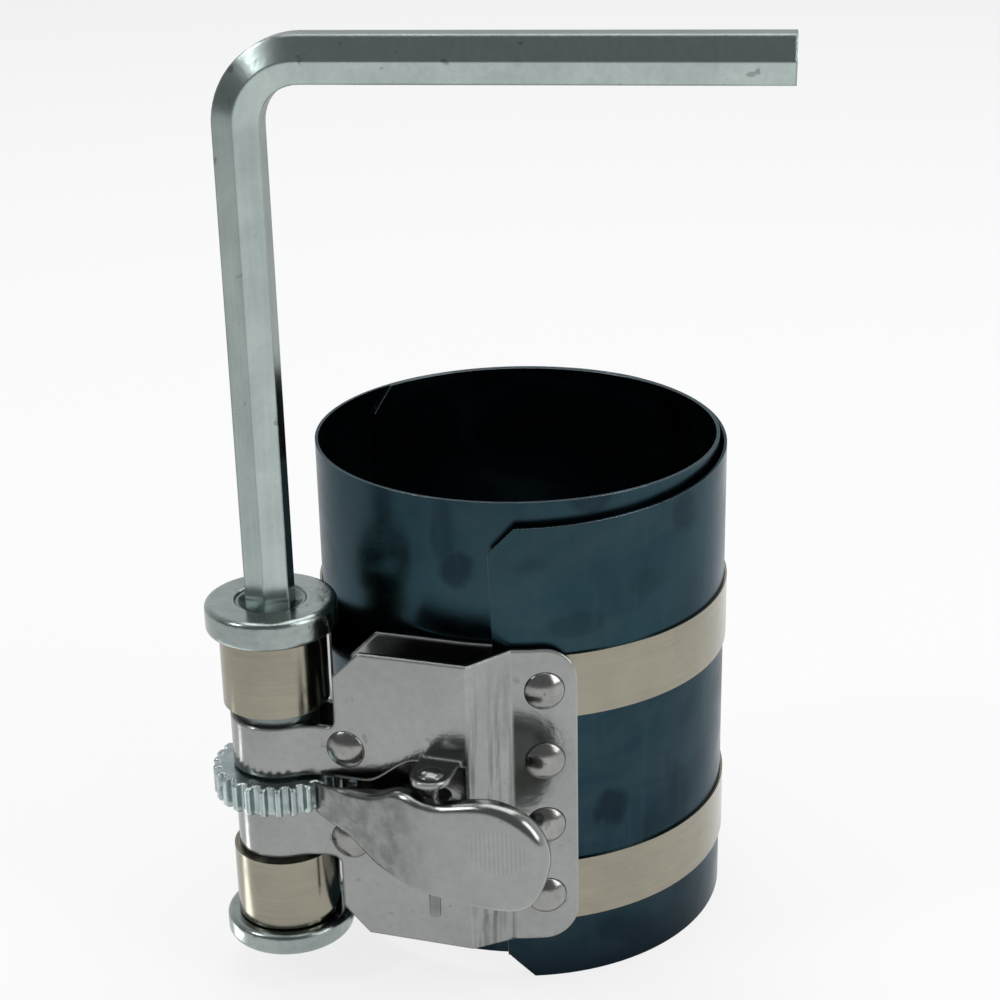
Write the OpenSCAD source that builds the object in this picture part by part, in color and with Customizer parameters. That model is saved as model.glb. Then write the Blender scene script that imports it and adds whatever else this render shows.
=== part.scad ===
// Piston ring compressor: a coiled spring-steel sleeve closed by two straps that a ratchet spindle winds in.
// Frame: origin on the sleeve axis at the flat lower rim, +Z up, the ratchet frame faces -Y.

/* [Sleeve] */
// Bore of the sleeve as it is closed here
bore_d = 66; // [60:0.5:76]
// Width of the spring sheet at its two ends
sleeve_h = 80; // [74:1:100]
// How much lower the outer end of the sheet sits than its inner wrap
sheet_skew = 3.5; // [2:0.5:5]
// Thickness of the spring sheet
sleeve_t = 0.5; // [0.4:0.05:0.6]
// Clipped corners at both ends of the sheet
corner_clip = 4.2; // [3:0.2:6]
// Angle at which the outer end of the sheet stops
outer_end_deg = -81; // [-83:1:-79]
// How far the outer end of the sheet slants from its top to its bottom
end_slant = 2.2; // [0.4:0.2:3]
// Angle at which the inner end of the sheet stops
inner_end_deg = 157; // [130:1:165]

/* [Straps] */
// Width of each strap
strap_w = 10.8; // [9:0.2:11.2]
// Thickness of each strap
strap_t = 0.4; // [0.3:0.05:0.5]
// Distance between the middles of the two straps
strap_pitch = 36.9; // [36:0.1:38]
// How much lower the straps sit than the middle of the frame
strap_drop = 0.4; // [0:0.1:0.6]
// Height of a coil, whose turns have crept a little to the side
coil_h = 12.2; // [11.4:0.1:12.4]
// Turns of strap wound on the spindle
coil_turns = 4; // [3:1:5]

/* [Ratchet frame] */
// Height of the middle of the ratchet frame above the rim
ratchet_mid_z = 35.2; // [34:0.2:38]
// Height of the folded frame
frame_h = 50.2; // [48:0.2:54]
// Thickness of the frame sheet
frame_t = 0.9; // [0.8:0.05:1]
// Distance over the outer faces of the two frame panels
frame_depth = 8.95; // [8.5:0.05:10]
// Left edge of the frame panels, from the sleeve axis
panel_left_x = -17.8; // [-18.2:0.1:-17]
// Where the front panel folds back to the sleeve, from the sleeve axis
crease_x = 4.2; // [4:0.1:4.8]
// Clipped left corners of the frame panels
panel_clip = 4.4; // [3:0.2:5]
// Angle at which the riveted flange starts
flange_start_deg = -75.5; // [-77:0.5:-74]
// Angle at which the riveted flange ends
flange_end_deg = -59; // [-60:0.5:-57]
// How much lower the riveted flange reaches than the panels
flange_drop = 1.8; // [0.2:0.2:2.4]
// Corner radius of the riveted flange
flange_corner_r = 5.5; // [3:0.5:6]
// Radius in the inner corner between a bearing loop and its panel
notch_r = 1.4; // [0.6:0.2:2]
// Lower and upper edge of a bearing loop, from the middle of the frame
loop_low = 3; // [2.9:0.1:3.4]
loop_high = 11.6; // [10:0.2:12]
// Bend radius where a bearing loop leaves its panel
loop_bend_r = 9; // [7:0.5:10]

/* [Spindle] */
// Spindle axis, from the sleeve axis
spindle_x = -29.3; // [-31:0.1:-29]
// Radius of the spindle shaft
shaft_r = 6.65; // [6:0.05:6.8]
// Radius of the two end flanges
flange_r = 10.45; // [9.5:0.05:11]
// Thickness of the upper and the lower end flange
upper_flange_h = 4.7; // [4:0.1:5.2]
lower_flange_h = 3.7; // [3:0.1:4]
// Underside of the upper flange above the upper strap
upper_flange_gap = 2.8; // [2.4:0.1:3.2]
// Top of the lower flange below the lower strap
lower_flange_gap = 0.6; // [0.5:0.1:1]
// Radius of the upper flange's mouth and of the shaft end in it
mouth_r = 5.6; // [5.2:0.1:5.8]
// How far the shaft end sits below the top of the upper flange
mouth_depth = 0.3; // [0.2:0.1:0.6]

/* [Ratchet wheel] */
// Number of teeth
tooth_count = 27; // [24:1:30]
// Radius over the teeth
wheel_r = 11; // [10.6:0.1:11.2]
// Depth of a tooth
tooth_depth = 1.2; // [0.9:0.1:1.4]
// Thickness of the wheel
wheel_h = 5; // [4:0.1:5.2]

/* [Release lever] */
// Pivot of the lever, from the sleeve axis and in front of the front panel
pivot_x = -0.2; // [-0.6:0.1:0.4]
pivot_out = 5; // [4.8:0.1:5.4]
// Front of the lever at its pivot, in front of the front panel
lever_out = 9; // [8.6:0.1:9.6]
// Thickness of the lever sheet
lever_t = 0.9; // [0.8:0.05:1]
// Depth of the folded rim round the lever
lever_rim = 2.6; // [2:0.1:3]
// Reach of the thumb pad to the right of the pivot
pad_reach = 19.6; // [18:0.2:21]
// Upper and lower edge of the thumb pad, from the middle of the wheel
pad_top_h = 7; // [6.4:0.1:7.4]
pad_low_h = 11.5; // [10.6:0.1:11.8]
// Upper and lower edge of the pawl nose, from the middle of the wheel
nose_top_h = 2.8; // [2.4:0.1:3]
nose_low_h = 2.6; // [2.2:0.1:2.8]
// How deep the pawl nose dips into the teeth
nose_dip = 0.45; // [0.3:0.05:0.5]
// Angle on the wheel at which the pawl nose dips in
nose_deg = -38; // [-40:1:-36]
// Radius of the pivot pin
pin_r = 1.2; // [1:0.05:1.3]
// Thickness of the two ears that hold the pin
ear_t = 1; // [0.8:0.1:1.2]
// Underside of the upper ear, above the middle of the wheel
ear_high_h = 7.8; // [7.2:0.1:8.2]
// Top of the lower ear, below the middle of the wheel
ear_low_h = 7.6; // [7.2:0.1:7.8]

/* [Rivets] */
// Radius of a rivet head
rivet_head_r = 3.2; // [2.8:0.05:3.4]
// Height of a rivet head
rivet_head_h = 1.2; // [1:0.1:1.8]
// Radius of a rivet shank
rivet_r = 1.6; // [1.2:0.1:1.8]
// Height of the two sleeve rivets above and below the middle of the frame
sleeve_rivet_z = 5.8; // [5:0.1:7]
// Place of the two frame rivets, from the panels' left edge and the middle of the frame
frame_rivet_x = 1.7; // [1.5:0.1:4]
frame_rivet_z = 8.2; // [7.4:0.1:9]

/* [Hex key] */
// Size of the key across its flats
key_af = 7; // [6:0.5:7.5]
// Height of the middle of the key's handle above the rim
handle_z = 150; // [120:1:200]
// Reach of the handle from the spindle axis
handle_reach = 79; // [60:1:100]
// Bend radius at the middle of the key
key_bend_r = 9.5; // [8:0.5:12]
// Depth of the key in the spindle
socket_depth = 14; // [8:0.5:18]
// Direction in which the handle points
handle_deg = 10; // [0:1:40]

/* [Fits] */
// Gap between faces that are riveted or pressed together
seat_gap = 0.05; // [0.03:0.01:0.06]
// Running clearance of pins and journals
run_gap = 0.05; // [0.03:0.01:0.08]
// Clear space between pieces that move past each other
free_gap = 0.3; // [0.25:0.05:0.4]

/* [Hidden] */
$fn = 96;
eps = 0.01;

// Sleeve: three arcs of one sheet. The inner wrap is round about the axis, the next half turn
// steps out behind it, and the outer wrap steps out again to make room for the back panel.
bore_r = bore_d / 2;
top_z = sleeve_h + sheet_skew;
step_back = sleeve_t + free_gap;
step_front = sleeve_t + free_gap + frame_t + 2 * seat_gap;
mid_shift = step_back / 2;
mid_r = bore_r + mid_shift;
outer_r = bore_r + (step_back + step_front) / 2;
outer_shift = (step_back - step_front) / 2;
rise_start_y = -bore_r * 0.45;
cutter = 4 * (bore_r + top_z);
// How far the middle bend of a sheet runs into the bends beside it, and how far its faces lie inside theirs
lap_deg = 0.3;
lap_step = 0.01;

// Layers stacked outwards at the flange, as radii about the outer wrap's own centre
back_in = outer_r - seat_gap - frame_t;
strap_in = outer_r + sleeve_t + seat_gap;
flange_in = strap_in + strap_t + seat_gap;
flange_out = flange_in + frame_t;
rivet_deg = (flange_start_deg + flange_end_deg) / 2;

// Frame panels
back_y = outer_shift - back_in;
front_y = back_y - frame_depth;
panel_mid_y = (front_y + back_y) / 2;
frame_low_z = ratchet_mid_z - frame_h / 2;

// Spindle
upper_strap_z = ratchet_mid_z - strap_drop + strap_pitch / 2;
lower_strap_z = ratchet_mid_z - strap_drop - strap_pitch / 2;
spindle_y = panel_mid_y;
loop_in = shaft_r + run_gap;
loop_out = loop_in + frame_t;
coil_r = shaft_r + seat_gap + coil_turns * (strap_t + seat_gap);
upper_flange_z = upper_strap_z + strap_w / 2 + upper_flange_gap;
spindle_top_z = upper_flange_z + upper_flange_h;
lower_flange_z = lower_strap_z - strap_w / 2 - lower_flange_gap - lower_flange_h;
shaft_top_z = spindle_top_z - mouth_depth;
shaft_low_z = lower_flange_z - mouth_depth;

// Strap run: the inner tangent from the sleeve to the spindle's coil
lap_r = outer_shift + strap_in - mid_shift;
run_coil_r = coil_r + free_gap + strap_t / 2;
run_lap_r = lap_r + strap_t / 2;
to_spindle = [spindle_x, spindle_y - mid_shift];
run_centres = norm(to_spindle);
run_half = acos((run_lap_r + run_coil_r) / run_centres);
run_deg = 360 + atan2(to_spindle[1], to_spindle[0]) - run_half;
run_length = sqrt(pow(run_centres, 2) - pow(run_lap_r + run_coil_r, 2));

// Lever
pivot_y = front_y - pivot_out;
lever_y = front_y - lever_out;
pad_y = lever_y - lever_t / 2;
nose_x = spindle_x + (wheel_r - nose_dip) * cos(nose_deg);
nose_y = spindle_y + (wheel_r - nose_dip) * sin(nose_deg);
ear_r = 3.2;
window_r = 4;
lower_ear_r = lever_out - pivot_out - lever_t - 2 * free_gap;
ear_low = ratchet_mid_z - ear_low_h;
ear_high = ratchet_mid_z + ear_high_h;

// Stations of the leaf along the lever, from the pivot
bridge_x = -10.6;
shoulder_x = -5;
waist_x = 1.5;
crest_x = 10.8;
corner_x = 17.2;
heel_x = 17;
belly_x = 11.5;
keel_x = -0.3;
throat_x = -8.8;
chin_x = -15;
// Heights of the leaf at those stations, from the middle of the wheel
bridge_h = 3.9;
shoulder_h = 6.2;
waist_h = 5.5;
corner_h = 4.2;
end_drop = 1.8;
heel_drop = 9.6;
keel_drop = 10.4;
throat_drop = 8.4;
chin_drop = 4.6;
cheek_high_z = ratchet_mid_z + waist_h - 1.5 * lever_t;
cheek_low_z = ratchet_mid_z - keel_drop + lever_t / 2;

// Shapes that more than one piece uses
module arc_wall(shift, r, t, from_deg, to_deg, z, h) {
  translate([0, shift, 0])
    rotate(from_deg)
      rotate_extrude(angle = to_deg - from_deg)
        translate([r, z])
          square([t, h]);
}

module joining_arc(r, t, from_deg, to_deg, z, h) {
  arc_wall(mid_shift, r + lap_step, t - 2 * lap_step, from_deg - lap_deg, to_deg + lap_deg, z + lap_step, h - 2 * lap_step);
}

module slope_cut(y_a, z_a, y_b, z_b, above) {
  translate([0, y_a, z_a])
    rotate([atan2(z_b - z_a, y_b - y_a) + (y_b < y_a ? 180 : 0), 0, 0])
      translate([-cutter / 2, -cutter / 2, above ? 0 : -cutter])
        cube(cutter);
}

module corner_cut(shift, r, deg, z, size) {
  side = size * sqrt(2);
  translate([0, shift, 0])
    rotate(deg)
      translate([r, 0, z])
        rotate([45, 0, 0])
          translate([-2, -side / 2, -side / 2])
            cube([5, side, side]);
}

module rivet_hole(z) {
  translate([0, outer_shift, z])
    rotate([0, 90, rivet_deg])
      cylinder(r = rivet_r + seat_gap, h = flange_out + 2);
}

module dome(r, h) {
  ball = (r * r + h * h) / (2 * h);
  intersection() {
    translate([0, 0, h - ball])
      sphere(ball);
    cylinder(r = r, h = h + 1);
  }
}

module radial_rivet(z) {
  translate([0, outer_shift, z])
    rotate([0, 90, rivet_deg])
      union() {
        translate([0, 0, back_in + seat_gap])
          cylinder(r = rivet_r, h = flange_out + seat_gap - back_in);
        translate([0, 0, flange_out + seat_gap])
          dome(rivet_head_r, rivet_head_h);
      }
}

module rounded_disc(r, h, edge_r) {
  rotate_extrude()
    union() {
      square([r - edge_r, h]);
      translate([0, edge_r])
        square([r, h - 2 * edge_r]);
      for (z = [edge_r, h - edge_r])
        translate([r - edge_r, z])
          circle(edge_r);
    }
}

// The coiled sheet
module outer_wrap() {
  difference() {
    arc_wall(outer_shift, outer_r, sleeve_t, outer_end_deg - 1, 90, 0, top_z);
    slope_cut(bore_r, top_z, -bore_r, sleeve_h, true);
    end_cut();
    corner_cut(outer_shift, outer_r, outer_end_deg + end_slant / outer_r * 180 / PI, 0, corner_clip);
    corner_cut(outer_shift, outer_r, outer_end_deg, sleeve_h, corner_clip);
  }
}

module end_cut() {
  translate([outer_r * cos(outer_end_deg), -bore_r, sleeve_h])
    rotate([0, -atan(end_slant / sleeve_h), 0])
      translate([-bore_r / 2, -bore_r / 2, -2 * sleeve_h])
        cube([bore_r / 2, bore_r, 3 * sleeve_h]);
}

module middle_wrap() {
  difference() {
    joining_arc(mid_r, sleeve_t, 90, 270, 0, top_z);
    slope_cut(rise_start_y, 0, -bore_r, sheet_skew + lap_step, false);
  }
}

module inner_wrap() {
  difference() {
    arc_wall(0, bore_r, sleeve_t, -90, inner_end_deg, 0, top_z);
    slope_cut(bore_r, 0, -bore_r, sheet_skew, false);
    corner_cut(0, bore_r, inner_end_deg, 0, corner_clip);
    corner_cut(0, bore_r, inner_end_deg, top_z, corner_clip);
  }
}

module sleeve() {
  color("darkslategray")
    difference() {
      union() {
        outer_wrap();
        middle_wrap();
        inner_wrap();
      }
      for (z = [-sleeve_rivet_z, sleeve_rivet_z])
        rivet_hole_outer(ratchet_mid_z + z);
      for (z = [lower_strap_z, upper_strap_z])
        rivet_hole_outer(z);
    }
}

module rivet_hole_outer(z) {
  translate([0, outer_shift, z])
    rotate([0, 90, rivet_deg])
      translate([0, 0, outer_r - seat_gap])
        cylinder(r = rivet_r + seat_gap, h = sleeve_t + 2 * seat_gap);
}

// A strap: riveted under the flange, round the sleeve and off to the spindle
module strap(z) {
  low = z - strap_w / 2;
  difference() {
    union() {
      arc_wall(outer_shift, strap_in, strap_t, flange_start_deg + 3, 90, low, strap_w);
      joining_arc(lap_r, strap_t, 90, run_deg, low, strap_w);
      translate([0, mid_shift, 0])
        rotate(run_deg)
          translate([lap_r, 0, low])
            cube([strap_t, run_length, strap_w]);
    }
    rivet_hole(z);
  }
}

module upper_strap() {
  color("tan")
    strap(upper_strap_z);
}

module lower_strap() {
  color("tan")
    strap(lower_strap_z);
}

// The folded frame, seen from above
module sector(from_deg, to_deg, r) {
  polygon(concat([[0, 0]], [for (i = [0:8]) r * [cos(from_deg + (to_deg - from_deg) * i / 8),
    sin(from_deg + (to_deg - from_deg) * i / 8)] / cos((to_deg - from_deg) / 16)]));
}

module flange_arc(r, from_deg, to_deg) {
  translate([0, outer_shift])
    intersection() {
      difference() {
        circle(r + frame_t);
        circle(r);
      }
      sector(from_deg, to_deg, 2 * r);
    }
}

neck_y = frame_depth / 2;
neck_x = sqrt(pow(loop_out + loop_bend_r, 2) - pow(neck_y + loop_bend_r, 2));
foot = [flange_out * cos(flange_start_deg), outer_shift + flange_out * sin(flange_start_deg)];
riser_deg = atan2(foot[1] - front_y, foot[0] - crease_x);

module loop_outline(r, bend_r) {
  circle(r);
  for (side = [-1, 1])
    difference() {
      polygon([[0, 0], [neck_x, side * (neck_y + loop_bend_r)], [neck_x, 0]]);
      translate([neck_x, side * (neck_y + loop_bend_r)])
        circle(bend_r);
    }
}

module loop_plan() {
  translate([spindle_x, spindle_y])
    difference() {
      loop_outline(loop_out, loop_bend_r);
      loop_outline(loop_in, loop_bend_r + frame_t);
    }
}

module frame_plan() {
  loop_plan();
  translate([spindle_x + neck_x - eps, front_y])
    square([crease_x - spindle_x - neck_x + eps, frame_t]);
  translate([spindle_x + neck_x - eps, back_y - frame_t])
    square([eps - spindle_x - neck_x, frame_t]);
  riser_plan();
  flange_arc(flange_in, flange_start_deg, flange_end_deg);
  flange_arc(back_in, -90, flange_end_deg);
}

module riser_plan() {
  half = frame_t * tan(riser_deg / 2);
  polygon([
    [crease_x, front_y],
    foot,
    foot - frame_t * [cos(flange_start_deg), sin(flange_start_deg)],
    [crease_x - half, front_y + frame_t]
  ]);
}

module flange_corner(z, side) {
  translate([0, outer_shift, z])
    rotate(flange_end_deg)
      translate([back_in - 1, -flange_corner_r, -side * flange_corner_r])
        rotate([0, 90, 0])
          difference() {
            translate([side > 0 ? -2 * flange_corner_r : 0, 0, 0])
              cube([2 * flange_corner_r, 2 * flange_corner_r, flange_out - back_in + 2]);
            translate([0, 0, -1])
              cylinder(r = flange_corner_r, h = flange_out - back_in + 4);
          }
}

module ear_plan(r) {
  translate([pivot_x, pivot_y])
    circle(r);
  translate([pivot_x - r, pivot_y])
    square([2 * r, pivot_out + frame_t]);
}

module ear(z, r) {
  translate([0, 0, z])
    linear_extrude(ear_t)
      difference() {
        ear_plan(r);
        translate([pivot_x, pivot_y])
          circle(pin_r + run_gap);
      }
}

// The window the ears are bent out of, and the slit that runs from it to the wheel
slit_start = 4.4;
slit_bend_x = panel_left_x + slit_start;
slit_steps = 14;

function ease(i) = (1 - cos(180 * i / slit_steps)) / 2;
function slit_edge(z) = [for (i = [0:slit_steps]) [
  slit_bend_x + (pivot_x - window_r - slit_bend_x) * i / slit_steps,
  (z > ratchet_mid_z ? ratchet_mid_z + loop_low : ratchet_mid_z - loop_low) * (1 - ease(i)) + z * ease(i)
]];
function turned(p) = [for (i = [len(p) - 1:-1:0]) p[i]];

module front_window() {
  translate([0, front_y + frame_t + 1, 0])
    rotate([90, 0, 0])
      linear_extrude(frame_t + 2)
        polygon(concat(
          [[panel_left_x - 1, ratchet_mid_z + loop_low]],
          slit_edge(ear_high),
          [[pivot_x + window_r, ear_high], [pivot_x + window_r, ear_low]],
          turned(slit_edge(ear_low)),
          [[panel_left_x - 1, ratchet_mid_z - loop_low]]
        ));
}

module panel_clip_cut(z) {
  side = panel_clip * sqrt(2);
  translate([panel_left_x, spindle_y, z])
    rotate([0, 45, 0])
      cube([side, 2 * frame_depth, side], center = true);
}

// Below the panels, rising from the flange's lower edge to theirs along the riser
module panel_under_cut() {
  far = 2 * frame_h;
  rotate([90, 0, 0])
    linear_extrude(far, center = true)
      polygon([
        [-far, frame_low_z],
        [crease_x, frame_low_z],
        [foot[0], frame_low_z - flange_drop],
        [foot[0], -far],
        [-far, -far]
      ]);
}

// Space beside a panel for the wound strap, round in its inner corner
module notch_cut(z, side) {
  far = z + side * frame_h;
  left_cut(min(z, far), max(z, far), panel_left_x - notch_r);
  left_cut(min(z + side * notch_r, far), max(z + side * notch_r, far), panel_left_x);
  translate([panel_left_x - notch_r, spindle_y, z + side * notch_r])
    rotate([90, 0, 0])
      cylinder(r = notch_r, h = 4 * loop_out, center = true);
}

module left_cut(low, high, x) {
  translate([spindle_x - 2 * loop_out, spindle_y - 2 * loop_out, low])
    cube([x - spindle_x + 2 * loop_out, 4 * loop_out, high - low]);
}

module frame_rivet_hole(z) {
  translate([panel_left_x + frame_rivet_x, front_y - 1, z])
    rotate([-90, 0, 0])
      cylinder(r = rivet_r + seat_gap, h = frame_depth + 2);
}

module ratchet_frame() {
  high = frame_low_z + frame_h;
  color("silver")
    difference() {
      union() {
        difference() {
          translate([0, 0, frame_low_z - flange_drop])
            linear_extrude(frame_h + flange_drop)
              frame_plan();
          panel_under_cut();
          notch_cut(ratchet_mid_z + loop_high, 1);
          notch_cut(ratchet_mid_z - loop_high, -1);
          left_cut(ratchet_mid_z - loop_low, ratchet_mid_z + loop_low, panel_left_x);
          panel_clip_cut(high);
          panel_clip_cut(frame_low_z);
          flange_corner(high, 1);
          flange_corner(frame_low_z - flange_drop, -1);
          front_window();
        }
        ear(ear_high, ear_r);
        ear(ear_low - ear_t, lower_ear_r);
      }
      for (z = [-frame_rivet_z, frame_rivet_z])
        frame_rivet_hole(ratchet_mid_z + z);
      for (z = [lower_strap_z, ratchet_mid_z - sleeve_rivet_z, ratchet_mid_z + sleeve_rivet_z, upper_strap_z])
        rivet_hole(z);
    }
}

// A shouldered rivet that holds the two panels apart
module frame_rivet(z) {
  spacer_r = rivet_r + 0.8;
  color("silver")
    translate([panel_left_x + frame_rivet_x, front_y, z])
      rotate([-90, 0, 0])
        union() {
          translate([0, 0, -seat_gap])
            cylinder(r = rivet_r, h = frame_depth + 2 * seat_gap);
          translate([0, 0, frame_t + seat_gap])
            cylinder(r = spacer_r, h = frame_depth - 2 * frame_t - 2 * seat_gap);
          translate([0, 0, -seat_gap])
            mirror([0, 0, 1])
              dome(rivet_head_r, rivet_head_h);
          translate([0, 0, frame_depth + seat_gap])
            dome(rivet_head_r, rivet_head_h);
        }
}

module upper_frame_rivet() {
  frame_rivet(ratchet_mid_z + frame_rivet_z);
}

module lower_frame_rivet() {
  frame_rivet(ratchet_mid_z - frame_rivet_z);
}

module upper_strap_rivet() {
  color("silver")
    radial_rivet(upper_strap_z);
}

module lower_strap_rivet() {
  color("silver")
    radial_rivet(lower_strap_z);
}

module upper_sleeve_rivet() {
  color("silver")
    radial_rivet(ratchet_mid_z + sleeve_rivet_z);
}

module lower_sleeve_rivet() {
  color("silver")
    radial_rivet(ratchet_mid_z - sleeve_rivet_z);
}

// Pivot pin with a button head on the upper ear and a thinner tail below the lower ear
pin_tail = 7.6;
tail_r = 0.75 * pin_r;
tail_step = 0.6;
pin_head_r = 1.8 * pin_r;
pin_head_h = 0.9;

module lever_pivot_pin() {
  low = ear_low - ear_t - pin_tail;
  high = ear_high + ear_t;
  color("gray")
    translate([pivot_x, pivot_y, 0])
      union() {
        translate([0, 0, ear_low - ear_t - tail_step])
          cylinder(r = pin_r, h = high - ear_low + ear_t + tail_step + seat_gap);
        translate([0, 0, low])
          cylinder(r = tail_r, h = high - low);
        translate([0, 0, high + seat_gap])
          dome(pin_head_r, pin_head_h);
      }
}

// Torsion spring round the pivot pin: a coil with one leg on the front panel and one behind the pad
wire_r = 0.4;
spring_r = pin_r + wire_r + 0.35;
spring_turns = 5;
spring_pitch = 1.05;
leg_length = 8;
spring_z = (ear_low + cheek_high_z - (spring_turns + 0.5) * spring_pitch) / 2;
panel_leg_deg = 16;
pad_leg_deg = asin((lever_out - pivot_out - lever_t - free_gap - wire_r - spring_r) / leg_length);

function on_coil(a) = [pivot_x + spring_r * sin(a), pivot_y + spring_r * cos(a), spring_z + spring_pitch * a / 360];
panel_way = [cos(panel_leg_deg), sin(panel_leg_deg), 0];
pad_way = [cos(pad_leg_deg), -sin(pad_leg_deg), 0];
coil_last = 360 * spring_turns + 180;
wire_path = concat(
  [on_coil(0) + leg_length * panel_way],
  [for (a = [0:30:coil_last]) on_coil(-a) + [0, 0, 2 * spring_pitch * a / 360]],
  [on_coil(-coil_last) + [0, 0, 2 * spring_pitch * coil_last / 360] + leg_length * pad_way]
);

function unit(v) = v / norm(v);
function way_at(p, i) = unit(p[min(i + 1, len(p) - 1)] - p[max(i - 1, 0)]);
function wire_ring(p, i) =
  let (along = way_at(p, i), side = unit(cross(along, [0, 0, 1])), up = cross(side, along))
  [for (k = [0:7]) p[i] + wire_r * (cos(45 * k) * side + sin(45 * k) * up)];

module wire(p) {
  n = len(p);
  polyhedron(
    points = [for (i = [0:n - 1]) each wire_ring(p, i)],
    faces = concat(
      [[for (k = [0:7]) k]],
      [for (i = [0:n - 2], k = [0:7]) [8 * i + k, 8 * i + 8 + k, 8 * i + 8 + (k + 1) % 8, 8 * i + (k + 1) % 8]],
      [[for (k = [7:-1:0]) 8 * (n - 1) + k]]
    )
  );
}

module lever_spring() {
  color("dimgray")
    wire(wire_path);
}

// Spindle
hex_turn = handle_deg + 30;
socket_af = key_af + 2 * run_gap;
dish_depth = 1.3;
dish_r = mouth_r - 0.4;
dish_low_r = socket_af / 2;

module spindle_shaft() {
  color("gray")
    translate([spindle_x, spindle_y, 0])
      difference() {
        union() {
          translate([0, 0, lower_flange_z + lower_flange_h + seat_gap])
            cylinder(r = shaft_r, h = upper_flange_z - lower_flange_z - lower_flange_h - 2 * seat_gap);
          translate([0, 0, shaft_low_z])
            cylinder(r = mouth_r, h = shaft_top_z - shaft_low_z);
        }
        translate([0, 0, shaft_top_z - socket_depth])
          rotate(hex_turn)
            cylinder(d = socket_af / cos(30), h = socket_depth + 1, $fn = 6);
        translate([0, 0, shaft_top_z - dish_depth])
          cylinder(r1 = dish_low_r, r2 = dish_r, h = dish_depth + lap_step);
      }
}

flange_edge_r = 0.9;
mouth_chamfer = 0.25;

module end_flange(h) {
  difference() {
    rounded_disc(flange_r, h, flange_edge_r);
    translate([0, 0, -1])
      cylinder(r = mouth_r + seat_gap, h = h + 2);
    translate([0, 0, h - mouth_chamfer])
      cylinder(r1 = mouth_r + seat_gap, r2 = mouth_r + seat_gap + 2 * mouth_chamfer, h = 2 * mouth_chamfer);
  }
}

module upper_flange() {
  color("lightsteelblue")
    translate([spindle_x, spindle_y, upper_flange_z])
      end_flange(upper_flange_h);
}

module lower_flange() {
  color("lightsteelblue")
    translate([spindle_x, spindle_y, lower_flange_z + lower_flange_h])
      mirror([0, 0, 1])
        end_flange(lower_flange_h);
}

tooth_pitch = 360 / tooth_count;
// How far the pawl nose lies from the middle of its tooth gap, as a share of the pitch
nose_lead = 0.06;
tooth_turn = nose_deg + nose_lead * tooth_pitch;

function tooth_at(i) = let (a = tooth_turn + tooth_pitch * i, root = wheel_r - tooth_depth) [
  wheel_r * [cos(a - 0.36 * tooth_pitch), sin(a - 0.36 * tooth_pitch)],
  root * [cos(a - 0.2 * tooth_pitch), sin(a - 0.2 * tooth_pitch)],
  root * [cos(a + 0.2 * tooth_pitch), sin(a + 0.2 * tooth_pitch)],
  wheel_r * [cos(a + 0.36 * tooth_pitch), sin(a + 0.36 * tooth_pitch)]
];

module ratchet_wheel() {
  color("lightsteelblue")
    translate([spindle_x, spindle_y, ratchet_mid_z - wheel_h / 2])
      intersection() {
        linear_extrude(wheel_h)
          difference() {
            polygon([for (i = [0:tooth_count - 1]) each tooth_at(i)]);
            circle(shaft_r + seat_gap);
          }
        rounded_disc(wheel_r + 0.1, wheel_h, 0.8);
      }
}

// Wound turns of strap on the spindle, with a fine groove between turns
module strap_coil(z) {
  pitch = strap_t + seat_gap;
  first_r = shaft_r + seat_gap;
  groove = 0.3;
  color("tan")
    translate([spindle_x, spindle_y, z])
      rotate_extrude()
        difference() {
          translate([first_r, 0])
            square([coil_r - first_r, coil_h]);
          for (i = [1:coil_turns - 1], edge = [0, coil_h])
            translate([first_r + i * pitch - seat_gap, edge - groove])
              square([seat_gap, 2 * groove]);
        }
}

module upper_strap_coil() {
  strap_coil(upper_flange_z - free_gap - coil_h);
}

module lower_strap_coil() {
  strap_coil(lower_flange_z + lower_flange_h + free_gap);
}

// Release lever: a leaf-shaped pressing cranked in plan, with a folded rim and two cheeks on the pin.
tail_x = nose_x - pivot_x;
leaf = [
  [tail_x, -nose_low_h], [tail_x, nose_top_h], [bridge_x, bridge_h], [shoulder_x, shoulder_h], [waist_x, waist_h],
  [crest_x, pad_top_h], [corner_x, corner_h], [pad_reach, -end_drop], [heel_x, -heel_drop], [belly_x, -pad_low_h],
  [keel_x, -keel_drop], [throat_x, -throat_drop], [chin_x, -chin_drop], [tail_x, -nose_low_h]
];
curve_steps = 5;

// Smooth curve through the points, straight at its first piece
function curve_point(a, b, c, d, t) = b + (c - a) * t / 2 + (2 * a - 5 * b + 4 * c - d) * t * t / 2
  + (3 * b - a - 3 * c + d) * t * t * t / 2;
function curve(p, from) = [for (i = [from:len(p) - 2], k = [0:curve_steps - 1])
  curve_point(i == from ? p[i] : p[i - 1], p[i], p[i + 1], p[min(i + 2, len(p) - 1)], k / curve_steps)];
leaf_edge = concat([leaf[0]], curve(leaf, 1));

function side_of(p, i) = let (n = len(p), d = p[(i + 1) % n] - p[(i + n - 1) % n]) [d[1], -d[0]] / norm(d);
function inset(p, d) = [for (i = [0:len(p) - 1]) p[i] + d * side_of(p, i)];

module leaf_prism(points) {
  translate([pivot_x, 0, ratchet_mid_z])
    rotate([90, 0, 0])
      linear_extrude(-2 * pad_y)
        polygon(points);
}

// The lever's front face seen from above, from the nose to the end of the pad
nose_tip = 0.3;
nose_steps = 2 * curve_steps;
nose_rise = 1.5;
arm_out = 7.8;
lever_path = curve([
  [nose_x, nose_y], [nose_x + 3.4, nose_y - nose_rise], [pivot_x + shoulder_x, front_y - arm_out],
  [pivot_x, lever_y], [pivot_x + crest_x, pad_y], [pivot_x + pad_reach + 1, pad_y]
], 0);
lever_front = concat(lever_path, [[pivot_x + pad_reach + 1, pad_y]]);

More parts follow.
